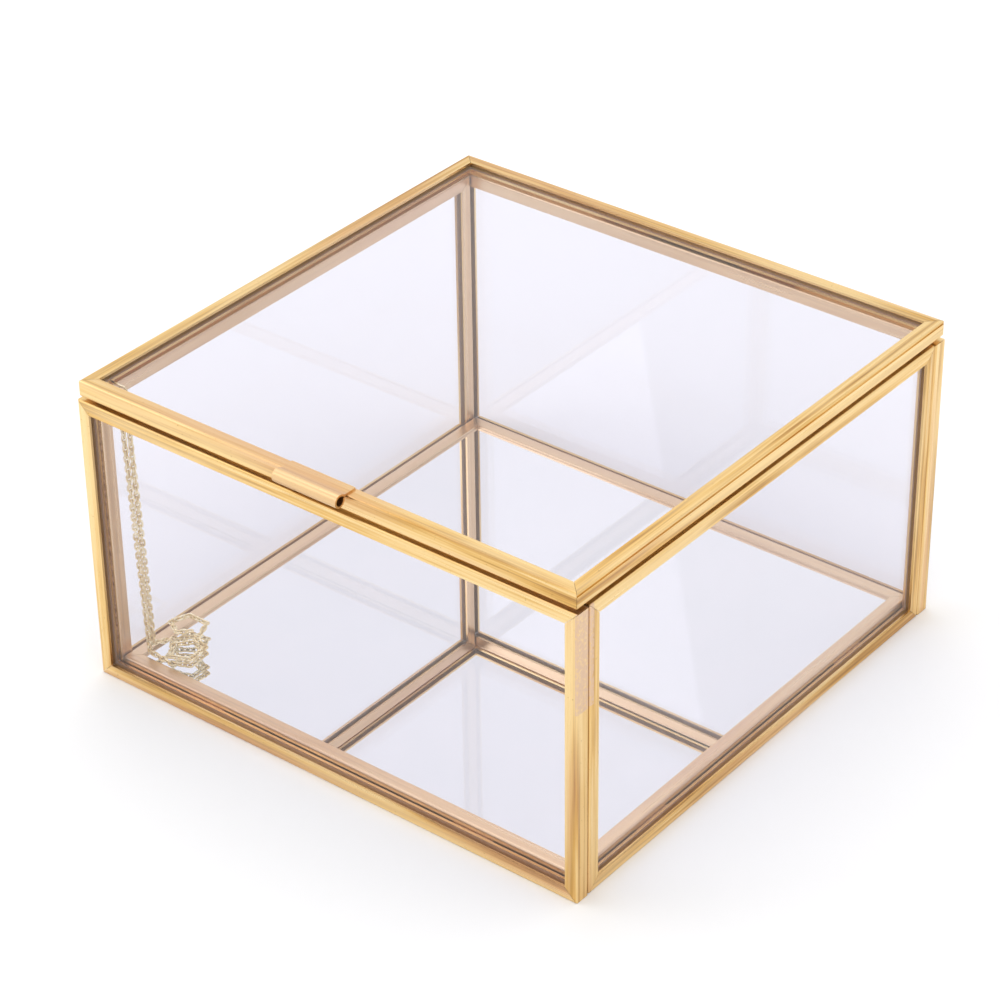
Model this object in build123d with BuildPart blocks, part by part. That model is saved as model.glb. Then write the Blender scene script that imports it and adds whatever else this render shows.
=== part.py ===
from build123d import *
from math import atan, atan2, cos, degrees, radians, sin
import os

os.makedirs("parts", exist_ok=True)

# Millimetres. X to the right, front at -Y, Z up, the base's middle at the origin.

# Driving dimensions: box, lid and the folded brass channel round every pane
box_size = 150.0
box_height = 80.3
lid_gap = 0.8
lid_inset = 0.5
pane_thickness = 3.0
sheet = 0.7
lip = 3.4
fold_radius = 0.5
mitre_gap = 0.06
panel_gap = 0.3
pane_play = 0.2
pane_gap = 0.05
floor_lift = 0.8
groove_depth = 0.3
groove_width = 0.65
groove_down = 0.8

# Hinge at the back, pull tab at the front
hinge_y = 76.8
hinge_z = 80.7
knuckle_radius = 1.7
knuckle_bore = 0.95
pin_radius = 0.9
pin_head_radius = 1.3
pin_head_thickness = 0.6
lid_knuckle_length = 30.0
box_knuckle_length = 15.0
knuckle_gap = 0.25
tab_width = 19.0
tab_sheet = 0.5
tab_curl = 1.45
tab_curl_sweep = 285
tab_run = 2.3
tab_rise = 0.65

# Stay chain: oval links, an eye on the lid and an eye on the left wall
wire = 0.25
link_end = 0.56
link_straight = 0.42
link_clearance = 0.06
eye_wire = 0.3
rod_radius = 0.35
lid_eye_radius = 1.2
box_eye_radius = 1.0
lid_chain_start = Vector(-67.0, -67.3, 79.0)
box_chain_start = Vector(-66.36, -65.7, 76.4)
lid_strand = Vector(1.9, 1.4, -72.7)
box_strand = Vector(0.86, 1.6, -68.5)
lead_links = 5
coil_links = 4
coil_turn = 72
coil_rise = 4

# Worked out from the above
channel = pane_thickness + 2 * sheet
inner = box_size / 2 - channel
side_panel_width = 2 * (inner - panel_gap)
lid_size = box_size - 2 * lid_inset
lid_bottom = box_height + lid_gap
lid_top = lid_bottom + channel
link_pitch = 2 * (link_end + link_straight) - 2 * wire - link_clearance


# Panels: a pane in four mitred channels. x runs along the panel, z points to its outer face.
wall_middle = box_size / 2 - channel / 2
half_up = box_height / 2
front = Plane((0, -wall_middle, half_up), x_dir=(1, 0, 0), z_dir=(0, -1, 0))
back = Plane((0, wall_middle, half_up), x_dir=(-1, 0, 0), z_dir=(0, 1, 0))
right = Plane((wall_middle, 0, half_up), x_dir=(0, 1, 0), z_dir=(1, 0, 0))
left = Plane((-wall_middle, 0, half_up), x_dir=(0, -1, 0), z_dir=(-1, 0, 0))
floor = Plane((0, 0, floor_lift + channel / 2))
lid = Plane((0, 0, lid_bottom + channel / 2))

# name, plane, width, height, the four channels anticlockwise from the lowest, grooved channels
panels = [
    ("front", front, box_size, box_height,
     ("bottom_rail", "right_stile", "top_rail", "left_stile"), ()),
    ("back", back, box_size, box_height,
     ("bottom_rail", "left_stile", "top_rail", "right_stile"), ()),
    ("right", right, side_panel_width, box_height,
     ("bottom_rail", "back_stile", "top_rail", "front_stile"), ()),
    ("left", left, side_panel_width, box_height,
     ("bottom_rail", "front_stile", "top_rail", "back_stile"), ()),
    ("floor", floor, side_panel_width, side_panel_width,
     ("front_rail", "right_rail", "back_rail", "left_rail"), ()),
    ("lid", lid, lid_size, lid_size,
     ("front_rail", "right_rail", "back_rail", "left_rail"), ("right_rail", "left_rail")),
]

for name, plane, width, height, channel_names, grooved in panels:
    with BuildPart() as pane:
        with BuildSketch(plane):
            Rectangle(width - 2 * (sheet + pane_play), height - 2 * (sheet + pane_play))
        extrude(amount=pane_thickness / 2 - pane_gap, both=True)
    pane_name = "floor_mirror" if name == "floor" else name + "_pane"
    pane.part.label = pane_name
    export_step(pane.part, "parts/" + pane_name + ".step")

    edges = [
        (-plane.y_dir * height / 2, plane.x_dir, width),
        (plane.x_dir * width / 2, plane.y_dir, height),
        (plane.y_dir * height / 2, -plane.x_dir, width),
        (-plane.x_dir * width / 2, -plane.y_dir, height),
    ]
    for channel_name, (offset, along, length) in zip(channel_names, edges):
        middle = plane.origin + offset
        inward = plane.z_dir.cross(along)
        section_plane = Plane(middle - along * length / 2, x_dir=inward, z_dir=along)
        with BuildPart() as rail:
            with BuildSketch(section_plane) as section:
                with Locations((lip / 2, 0)):
                    Rectangle(lip, channel)
                fillet(section.vertices().group_by(Axis.X)[0], fold_radius)
                with Locations((sheet + lip / 2, 0)):
                    Rectangle(lip, pane_thickness, mode=Mode.SUBTRACT)
                if channel_name in grooved:
                    with Locations((groove_depth / 2, channel / 2 - groove_down)):
                        Rectangle(groove_depth, groove_width, mode=Mode.SUBTRACT)
            extrude(amount=length)
            for side in (-1, 1):
                corner = middle + along * side * (length / 2 - mitre_gap)
                split(bisect_by=Plane(corner, z_dir=along * side + inward), keep=Keep.BOTTOM)
        rail.part.label = name + "_" + channel_name
        export_step(rail.part, "parts/" + name + "_" + channel_name + ".step")


# Solder run into the seam between the front and back walls and the side walls
with BuildPart() as corner_solder:
    with BuildSketch(Plane.XY.offset(1.2)):
        with GridLocations(2 * (inner + 2.2), 2 * inner - panel_gap, 2, 2):
            Rectangle(3.0, panel_gap)
    extrude(amount=box_height - 2.4)
corner_solder.part.label = "corner_solder"
export_step(corner_solder.part, "parts/corner_solder.step")

# Solder tacks holding the floor panel to the walls' bottom rails
with BuildPart() as floor_solder:
    with BuildSketch(Plane.XY.offset(floor_lift + 0.5)):
        for turn in range(4):
            with PolarLocations(inner - panel_gap / 2, 1, start_angle=turn * 90):
                with Locations((0, -42), (0, 42)):
                    Rectangle(panel_gap, 12)
    extrude(amount=1.9)
floor_solder.part.label = "floor_solder"
export_step(floor_solder.part, "parts/floor_solder.step")


# Hinge: two tubes on the box, one on the lid, a pin headed over at both ends
hinge_section = Plane((0, hinge_y, hinge_z), x_dir=(0, 1, 0), z_dir=(1, 0, 0))
box_knuckle_middle = lid_knuckle_length / 2 + knuckle_gap + box_knuckle_length / 2
hinge_half = box_knuckle_middle + box_knuckle_length / 2

with BuildPart() as lid_knuckle:
    with BuildSketch(hinge_section):
        Circle(knuckle_radius)
        Circle(knuckle_bore, mode=Mode.SUBTRACT)
    extrude(amount=lid_knuckle_length / 2, both=True)
lid_knuckle.part.label = "lid_knuckle"
export_step(lid_knuckle.part, "parts/lid_knuckle.step")

with BuildPart() as box_knuckles:
    for side in (-1, 1):
        with BuildSketch(hinge_section.offset(side * box_knuckle_middle)):
            Circle(knuckle_radius)
            Circle(knuckle_bore, mode=Mode.SUBTRACT)
    extrude(amount=box_knuckle_length / 2, both=True)
box_knuckles.part.label = "box_knuckles"
export_step(box_knuckles.part, "parts/box_knuckles.step")

with BuildPart() as hinge_pin:
    with BuildSketch(hinge_section):
        Circle(pin_radius)
    extrude(amount=hinge_half + knuckle_gap / 2, both=True)
    for side in (-1, 1):
        with BuildSketch(hinge_section.offset(side * (hinge_half + 0.06))):
            Circle(pin_head_radius)
        extrude(amount=side * pin_head_thickness)
    heads = hinge_pin.faces().sort_by(Axis.X)
    chamfer([heads[0].edges(), heads[-1].edges()], 0.25)
hinge_pin.part.label = "hinge_pin"
export_step(hinge_pin.part, "parts/hinge_pin.step")

with BuildPart() as box_hinge_solder:
    for side in (-1, 1):
        with BuildSketch(hinge_section.offset(side * box_knuckle_middle)):
            with BuildLine():
                Polyline((box_size / 2 - hinge_y, -0.45), (-1.2, -0.45), (0.1, -1.2),
                         (-0.3, -1.75), (-1.15, -2.1), (box_size / 2 - hinge_y, -3.0), close=True)
            make_face()
            Circle(knuckle_radius, mode=Mode.SUBTRACT)
    extrude(amount=box_knuckle_length / 2 - 0.4, both=True)
box_hinge_solder.part.label = "box_hinge_solder"
export_step(box_hinge_solder.part, "parts/box_hinge_solder.step")

with BuildPart() as lid_hinge_solder:
    with BuildSketch(hinge_section):
        with BuildLine():
            Polyline((lid_size / 2 - hinge_y, 0.6), (-1.2, 0.6), (0.1, 1.2),
                     (-0.3, 1.8), (-1.2, 2.2), (lid_size / 2 - hinge_y, 3.4), close=True)
        make_face()
        Circle(knuckle_radius, mode=Mode.SUBTRACT)
    extrude(amount=lid_knuckle_length / 2 - 0.4, both=True)
lid_hinge_solder.part.label = "lid_hinge_solder"
export_step(lid_hinge_solder.part, "parts/lid_hinge_solder.step")


# Pull tab: a strip soldered on the lid's front rail, its front end rolled down into a tube
bend = 2 * degrees(atan(tab_rise / tab_run))
bend_radius = tab_run / 2 / sin(radians(bend))
tab_level = lid_top + tab_sheet / 2
tab_fold = -(hinge_y - tab_run)
with BuildPart() as pull_tab:
    with BuildSketch(Plane((-tab_width / 2, 0, 0), x_dir=(0, 1, 0), z_dir=(1, 0, 0))):
        with BuildLine() as strip:
            flat = Line((-lid_size / 2 + lip - 0.2, tab_level), (tab_fold, tab_level))
            up = JernArc(start=flat @ 1, tangent=(-1, 0), radius=bend_radius, arc_size=-bend)
            over = JernArc(start=up @ 1, tangent=up % 1, radius=bend_radius, arc_size=bend)
            JernArc(start=over @ 1, tangent=over % 1, radius=tab_curl, arc_size=tab_curl_sweep)
        trace(line_width=tab_sheet)
    extrude(amount=tab_width)
pull_tab.part.label = "pull_tab"
export_step(pull_tab.part, "parts/pull_tab.step")


# Chain eyes: a ring for the end link on a short rod soldered to the brass
with BuildPart() as lid_chain_eye:
    ring_centre = lid_chain_start + Vector(0, 0, lid_eye_radius)
    rod_end = ring_centre + Vector(0, 0, lid_eye_radius)
    with Locations(Plane(ring_centre, z_dir=(0, 1, 0))):
        Torus(lid_eye_radius, eye_wire)
    rail_edge = -lid_size / 2 + lip
    with BuildSketch(Plane((rail_edge, rod_end.Y, rod_end.Z), z_dir=(1, 0, 0))):
        Circle(rod_radius)
    extrude(amount=rod_end.X - rail_edge)
lid_chain_eye.part.label = "lid_chain_eye"
export_step(lid_chain_eye.part, "parts/lid_chain_eye.step")

with BuildPart() as box_chain_eye:
    ring_centre = box_chain_start + Vector(0, 0, box_eye_radius)
    rod_end = ring_centre + Vector(0, 0, box_eye_radius)
    with Locations(Plane(ring_centre, z_dir=(0, 1, 0))):
        Torus(box_eye_radius, eye_wire)
    with BuildSketch(Plane((-inner, rod_end.Y, rod_end.Z), z_dir=(1, 0, 0))):
        Circle(rod_radius)
    extrude(amount=rod_end.X + inner)
box_chain_eye.part.label = "box_chain_eye"
export_step(box_chain_eye.part, "parts/box_chain_eye.step")


# Stay chain in two halves whose ends lie 3 mm apart in the heap. Each half is straight
# runs of links: the hanging strand, a lead along the floor, then a coil that turns and
# climbs evenly, so that its second turn lies on its first. Headings are from +X.
# The box half's last run is a link short: pulled straight, its end link then crosses
# the lid half's at about a right angle, as linked links do.
def run_direction(heading, rise):
    level = cos(radians(rise))
    return Vector(level * cos(radians(heading)), level * sin(radians(heading)), sin(radians(rise)))


def chain_half(side, strand, strand_links, lead, coil_heading, coil_runs, end_links):
    runs = [(side + "_chain_strand", strand.normalized(), strand_links),
            (side + "_chain_run_1", run_direction(*lead), lead_links)]
    for index in range(coil_runs):
        direction = run_direction(coil_heading + index * coil_turn, coil_rise)
        links = end_links if index == coil_runs - 1 else coil_links
        runs.append((side + "_chain_run_" + str(index + 2), direction, links))
    return runs


lid_chain_runs = chain_half("lid", lid_strand, 52, (0, -4), 20, 8, coil_links)
box_chain_runs = chain_half("box", box_strand, 49, (75, -14), 40, 6, coil_links - 1)

# One oval link: its length along x, lying in the xy plane
with BuildPart() as link:
    with BuildLine() as oval:
        Line((-link_straight, -link_end), (link_straight, -link_end))
        CenterArc((link_straight, 0), link_end, -90, 180)
        Line((link_straight, link_end), (-link_straight, link_end))
        CenterArc((-link_straight, 0), link_end, 90, 180)
    with BuildSketch(Plane((0, -link_end, 0), x_dir=(0, 1, 0), z_dir=(1, 0, 0))):
        Circle(wire)
    sweep(path=oval.wires()[0], transition=Transition.ROUND)


# Where a run turns, its first link swings on the end of the link before, so the links'
# planes start and end square to the two turning axes and alternate in between
def turning_axes(runs):
    axes = [Vector(1, 0, 0)]
    for before, after in zip(runs, runs[1:]):
        axes.append(after[1].cross(before[1]).normalized())
    return axes


def link_twist(direction, first_normal, next_axis, count):
    if next_axis is None or count < 2:
        return 0
    last_normal = direction.cross(next_axis).normalized()
    turned = degrees(atan2(first_normal.cross(last_normal).dot(direction),
                           first_normal.dot(last_normal)))
    return ((turned - (count - 1) * 90 + 90) % 180 - 90) / (count - 1)


def run_links(start, direction, axis, next_axis, count):
    first_normal = (axis - direction * axis.dot(direction)).normalized()
    twist = link_twist(direction, first_normal, next_axis, count)
    links = []
    for index in range(count):
        turn = radians(index * (90 + twist))
        normal = first_normal * cos(turn) + direction.cross(first_normal) * sin(turn)
        centre = start + direction * (link_pitch * (index + 1) - link_end - link_straight)
        links.append(Plane(centre, x_dir=direction, z_dir=normal).location)
    return links


for chain_start, chain_runs in ((lid_chain_start, lid_chain_runs),
                                (box_chain_start, box_chain_runs)):
    run_start = chain_start
    axes = turning_axes(chain_runs) + [None]
    for index, (run_name, direction, count) in enumerate(chain_runs):
        with BuildPart() as run:
            for place in run_links(run_start, direction, axes[index], axes[index + 1], count):
                add(link.part.moved(place))
        run.part.label = run_name
        export_step(run.part, "parts/" + run_name + ".step")
        run_start = run_start + direction * link_pitch * count
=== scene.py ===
import math

import bmesh
import bpy
from mathutils import Matrix, Vector


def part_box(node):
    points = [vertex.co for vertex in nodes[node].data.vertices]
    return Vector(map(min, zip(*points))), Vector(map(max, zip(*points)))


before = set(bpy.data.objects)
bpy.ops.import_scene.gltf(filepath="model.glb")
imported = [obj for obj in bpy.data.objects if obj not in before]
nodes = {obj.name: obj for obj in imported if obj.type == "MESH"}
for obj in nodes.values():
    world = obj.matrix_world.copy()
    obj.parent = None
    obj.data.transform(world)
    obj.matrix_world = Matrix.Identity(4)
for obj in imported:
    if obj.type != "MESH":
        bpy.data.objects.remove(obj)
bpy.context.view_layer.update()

boxLow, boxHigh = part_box("front_bottom_rail")[0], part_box("right_bottom_rail")[1]
print("frame loaded:", len(nodes), "nodes")

# camera: degrees about the box, metres back, across and up
cameraView = {"azimuth": 38.6, "elevation": 32.75, "roll": -0.74, "distance": 0.84,
              "across": -0.0045, "up": 0.0357, "lens": 118.3}


def makeCamera(view):
    az, el = math.radians(view["azimuth"]), math.radians(view["elevation"])
    back = Vector((math.sin(az) * math.cos(el), -math.cos(az) * math.cos(el), math.sin(el)))
    right = Vector((math.cos(az), math.sin(az), 0))
    up = back.cross(right)
    place = back * view["distance"] + right * view["across"] + up * view["up"]
    turn = Matrix((right, up, back)).transposed().to_4x4()
    turn = turn @ Matrix.Rotation(math.radians(view["roll"]), 4, "Z")
    cam = bpy.data.cameras.new("camera")
    cam.lens, cam.sensor_width, cam.clip_start = view["lens"], 36, 0.01
    obj = bpy.data.objects.new("camera", cam)
    obj.matrix_world = Matrix.Translation(place) @ turn
    bpy.context.scene.collection.objects.link(obj)
    bpy.context.scene.camera = obj


makeCamera(cameraView)
bpy.context.scene.view_settings.view_transform = "Standard"
print("camera placed")


def newMaterial(name):
    mat = bpy.data.materials.new(name)
    mat.use_nodes = True
    tree = mat.node_tree
    tree.nodes.clear()
    out = tree.nodes.new("ShaderNodeOutputMaterial")
    return mat, tree, out


def addNode(tree, kind, inputs=None, **props):
    node = tree.nodes.new("ShaderNode" + kind)
    for key, value in props.items():
        setattr(node, key, value)
    for key, value in (inputs or {}).items():
        if isinstance(value, bpy.types.NodeSocket):
            tree.links.new(value, node.inputs[key])
        else:
            node.inputs[key].default_value = value
    return node


def stretched(tree, scale, shift=(0, 0, 0)):
    coord = addNode(tree, "TexCoord").outputs["Object"]
    return addNode(tree, "Mapping", {"Vector": coord, "Scale": scale, "Location": shift}).outputs["Vector"]


def ramp(tree, fac, stops):
    node = addNode(tree, "ValToRGB", {"Fac": fac})
    els = node.color_ramp.elements
    while len(els) < len(stops):
        els.new(0.5)
    for el, (at, col) in zip(els, stops):
        el.position = at
        el.color = (*col, 1) if len(col) == 3 else col
    return node.outputs["Color"]


def mixColor(tree, fac, a, b, blend="MIX"):
    node = addNode(tree, "Mix", data_type="RGBA", blend_type=blend)
    for index, value in ((0, fac), (6, a), (7, b)):
        if isinstance(value, bpy.types.NodeSocket):
            tree.links.new(value, node.inputs[index])
        else:
            node.inputs[index].default_value = value if index == 0 else (*value, 1)
    return node.outputs[2]


def mapTo(tree, value, low, high, toLow, toHigh):
    node = addNode(tree, "MapRange", {"Value": value, "From Min": low, "From Max": high,
                                      "To Min": toLow, "To Max": toHigh})
    return node.outputs["Result"]


def maths(tree, operation, a, b=0.0, clamp=False):
    node = addNode(tree, "Math", {0: a, 1: b}, operation=operation, use_clamp=clamp)
    return node.outputs[0]


# brushed brass sheet, folded into the channels: colours, grain and where it changes; the inside tone is
# painted shade and painted glass reflection on the brass inside the box, and the pocket tone is painted
# shade on the channel faces against the pane
brass = {"cream": (0.93, 0.70, 0.36), "gold": (0.76, 0.46, 0.13), "tan": (0.50, 0.27, 0.09),
         "ochre": (0.26, 0.13, 0.03), "pink": (0.72, 0.43, 0.27), "inside": (0.86, 0.62, 0.44),
         "shadedPocket": (0.85, 0.48, 0.24), "solderPatch": (0.74, 0.52, 0.36),
         "streakAcross": 820, "streakAlong": 11, "patchAcross": 210, "patchAlong": 13,
         "grain": 2600, "pits": 1500, "bump": 0.35, "bumpDepth": 0.00012,
         "pocketReach": 0.0001, "roomHalf": 0.0709, "roomTop": 0.0805, "insideShadeShare": 0.65}
# solder spread down the right side of the near corner, from its top
cornerPatch = {"length": 0.027, "depth": 0.0006, "width": 0.0062, "past": 0.01, "above": 0.0001}


def withinMask(tree, low, high):
    # 1 in the box from low to high, 0 elsewhere
    coord = addNode(tree, "TexCoord").outputs["Object"]
    middle, half = (low + high) / 2, (high - low) / 2
    shifted = addNode(tree, "VectorMath", {0: coord, 1: tuple(middle)}, operation="SUBTRACT")
    reach = addNode(tree, "VectorMath", {0: shifted.outputs[0]}, operation="ABSOLUTE")
    split = addNode(tree, "SeparateXYZ", {0: reach.outputs[0]})
    mask = None
    for axis in range(3):
        inside = maths(tree, "LESS_THAN", split.outputs[axis], half[axis])
        mask = inside if mask is None else maths(tree, "MULTIPLY", mask, inside)
    return mask


def cornerPatchMask(tree):
    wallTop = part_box("front_top_rail")[1].z
    low = Vector((boxHigh.x - cornerPatch["depth"], boxLow.y - cornerPatch["past"],
                  wallTop - cornerPatch["length"]))
    high = Vector((boxHigh.x + cornerPatch["past"], boxLow.y + cornerPatch["width"],
                   wallTop + cornerPatch["above"]))
    return withinMask(tree, low, high)


# streaks run along the channel; faces against the pane get painted shade, and faces inside the box get
# painted shade with a painted glass reflection
def brassMaterial(name, along, paneNode):
    mat, tree, out = newMaterial(name)
    streak = [brass["streakAcross"]] * 3
    patch = [brass["patchAcross"]] * 3
    streak["xyz".index(along)] = brass["streakAlong"]
    patch["xyz".index(along)] = brass["patchAlong"]
    fine = addNode(tree, "TexNoise", {"Vector": stretched(tree, streak), "Scale": 1, "Detail": 5,
                                      "Roughness": 0.62}).outputs[0]
    broad = addNode(tree, "TexNoise", {"Vector": stretched(tree, patch, (3, 5, 7)), "Scale": 1,
                                       "Detail": 3, "Roughness": 0.55}).outputs[0]
    color = ramp(tree, fine, [(0.28, brass["ochre"]), (0.40, brass["tan"]), (0.50, brass["gold"]),
                              (0.64, brass["cream"])])
    color = mixColor(tree, mapTo(tree, broad, 0.38, 0.60, 0, 0.75), color, brass["cream"])
    color = mixColor(tree, mapTo(tree, broad, 0.42, 0.30, 0, 0.55), color, brass["tan"])
    soft = addNode(tree, "TexNoise", {"Vector": stretched(tree, patch, (11, 2, 9)), "Scale": 0.6,
                                      "Detail": 2}).outputs[0]
    color = mixColor(tree, mapTo(tree, soft, 0.54, 0.68, 0, 0.6), color, brass["pink"])
    grain = addNode(tree, "TexNoise", {"Vector": stretched(tree, (1, 1, 1)), "Scale": brass["grain"],
                                       "Detail": 2}).outputs[0]
    pit = addNode(tree, "TexNoise", {"Vector": stretched(tree, (1, 1, 1)), "Scale": brass["pits"],
                                     "Detail": 3, "Roughness": 0.7}).outputs[0]
    color = mixColor(tree, mapTo(tree, pit, 0.66, 0.72, 0, 0.55), color, brass["ochre"])
    low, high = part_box(paneNode)
    grow = Vector([brass["pocketReach"]] * 3)
    # painted shade: channel faces against the pane get a duller, non-metallic brown in place of the shade
    # that falls in the channel
    shadedPocket = withinMask(tree, low - grow, high + grow)
    # painted shade and painted glass reflection: brass inside the box is blended toward a pale pinkish
    # tone
    room = Vector((brass["roomHalf"], brass["roomHalf"], brass["roomTop"]))
    inRoom = withinMask(tree, Vector((-room.x, -room.y, 0)), room)
    inside = maths(tree, "MULTIPLY", inRoom, brass["insideShadeShare"])
    ragged = mapTo(tree, pit, 0.38, 0.52, 0.25, 0.95)
    patchMask = maths(tree, "MULTIPLY", cornerPatchMask(tree), ragged)
    color = mixColor(tree, patchMask, color, brass["solderPatch"])
    color = mixColor(tree, inside, color, brass["inside"])
    color = mixColor(tree, shadedPocket, color, brass["shadedPocket"])
    height = maths(tree, "ADD", fine, maths(tree, "MULTIPLY", grain, 0.25))
    bump = addNode(tree, "Bump", {"Height": height, "Strength": brass["bump"],
                                   "Distance": brass["bumpDepth"]})
    shader = addNode(tree, "BsdfPrincipled", {
        "Base Color": color, "Metallic": mapTo(tree, shadedPocket, 0, 1, 1, 0),
        "Roughness": mapTo(tree, fine, 0.3, 0.7, 0.40, 0.24), "Normal": bump.outputs[0]})
    tree.links.new(shader.outputs[0], out.inputs[0])
    return mat


# the axis that a piece runs along
def channelRun(name):
    if name.endswith("_stile"):
        return "z"
    if name.startswith(("left_", "right_")) or name.endswith(("left_rail", "right_rail")):
        return "y"
    return "x"


brassMade = {}


# one brass for each panel and direction
def brassFor(name):
    panel = name.split("_")[0] if name.endswith(("_rail", "_stile")) else "lid"
    key = panel, channelRun(name)
    if key not in brassMade:
        paneNode = "floor_mirror" if panel == "floor" else panel + "_pane"
        brassMade[key] = brassMaterial("brass_" + "_".join(key), key[1], paneNode)
    return brassMade[key]


def plainMetal(name, dark, light, scale, rough, bumpStrength):
    mat, tree, out = newMaterial(name)
    cloud = addNode(tree, "TexNoise", {"Vector": stretched(tree, (1, 1, 1)), "Scale": scale,
                                       "Detail": 4}).outputs[0]
    color = ramp(tree, cloud, [(0.35, dark), (0.65, light)])
    bump = addNode(tree, "Bump", {"Height": cloud, "Strength": bumpStrength, "Distance": 0.0002})
    shader = addNode(tree, "BsdfPrincipled", {
        "Base Color": color, "Metallic": 1.0, "Roughness": mapTo(tree, cloud, 0.3, 0.7, *rough),
        "Normal": bump.outputs[0]})
    tree.links.new(shader.outputs[0], out.inputs[0])
    return mat


solder = plainMetal("solder", (0.42, 0.26, 0.16), (0.78, 0.58, 0.42), 900, (0.5, 0.35), 0.8)
chainGold = plainMetal("chain_gold", (0.80, 0.62, 0.32), (0.98, 0.88, 0.62), 500, (0.16, 0.08), 0.05)

glass = {"tint": (0.905, 0.898, 0.942), "shadow": (0.92, 0.915, 0.95), "roughness": 0.0}


def glassMaterial():
    mat, tree, out = newMaterial("clear_glass")
    clear = addNode(tree, "BsdfPrincipled", {
        "Base Color": (*glass["tint"], 1), "Roughness": glass["roughness"], "IOR": 1.46,
        "Transmission Weight": 1.0})
    through = addNode(tree, "BsdfTransparent", {"Color": (*glass["shadow"], 1)})
    path = addNode(tree, "LightPath")
    mix = addNode(tree, "MixShader", {0: path.outputs["Is Shadow Ray"], 1: clear.outputs[0],
                                      2: through.outputs[0]})
    tree.links.new(mix.outputs[0], out.inputs[0])
    return mat


def mirrorMaterial():
    mat, tree, out = newMaterial("mirror")
    cloud = addNode(tree, "TexNoise", {"Vector": stretched(tree, (1, 1, 1)), "Scale": 60}).outputs[0]
    color = ramp(tree, cloud, [(0.4, (0.98, 0.985, 0.99)), (0.6, (0.99, 0.99, 0.995))])
    shader = addNode(tree, "BsdfPrincipled", {"Base Color": color, "Metallic": 1.0, "Roughness": 0.015})
    tree.links.new(shader.outputs[0], out.inputs[0])
    return mat


clearGlass = glassMaterial()
mirror = mirrorMaterial()


def materialFor(name):
    if "chain_eye" in name or "_chain_" in name:
        return chainGold
    if "solder" in name:
        return solder
    if name == "floor_mirror":
        return mirror
    if name.endswith("_pane"):
        return clearGlass
    return brassFor(name)


for name, node in nodes.items():
    for place in node.material_slots:
        place.material = materialFor(name)
print("materials assigned")


# pale studio floor in metres, and the strength of the white surroundings
stage = {"size": 6, "color": (0.96, 0.96, 0.965), "world": 1.0}


def makeFloor():
    mesh = bpy.data.meshes.new("floor")
    bm = bmesh.new()
    bmesh.ops.create_grid(bm, x_segments=1, y_segments=1, size=stage["size"])
    bm.to_mesh(mesh)
    bm.free()
    floor = bpy.data.objects.new("studio_floor", mesh)
    bpy.context.scene.collection.objects.link(floor)
    mat, tree, out = newMaterial("studio_floor")
    shader = addNode(tree, "BsdfPrincipled", {"Base Color": (*stage["color"], 1), "Roughness": 0.9})
    tree.links.new(shader.outputs[0], out.inputs[0])
    mesh.materials.append(mat)


def areaLight(name, place, aim, size, power, color=(1, 1, 1)):
    lamp = bpy.data.lights.new(name, "AREA")
    lamp.shape, lamp.size, lamp.size_y = "RECTANGLE", size[0], size[1]
    lamp.energy, lamp.color = power, color
    obj = bpy.data.objects.new(name, lamp)
    obj.location = place
    obj.rotation_euler = (Vector(aim) - Vector(place)).to_track_quat("-Z", "Y").to_euler()
    bpy.context.scene.collection.objects.link(obj)


makeFloor()
areaLight("softbox_top", (-0.3, 0.2, 1.3), (0, 0, 0.05), (1.2, 1.2), 4)
areaLight("softbox_left", (-1.1, -0.7, 0.7), (0, 0, 0.04), (0.9, 0.9), 2.5)

world = bpy.data.worlds.new("studio")
world.use_nodes = True
background = world.node_tree.nodes["Background"]
background.inputs["Color"].default_value = (1, 1, 1, 1)
background.inputs["Strength"].default_value = stage["world"]
bpy.context.scene.world = world
print("floor and lights set")
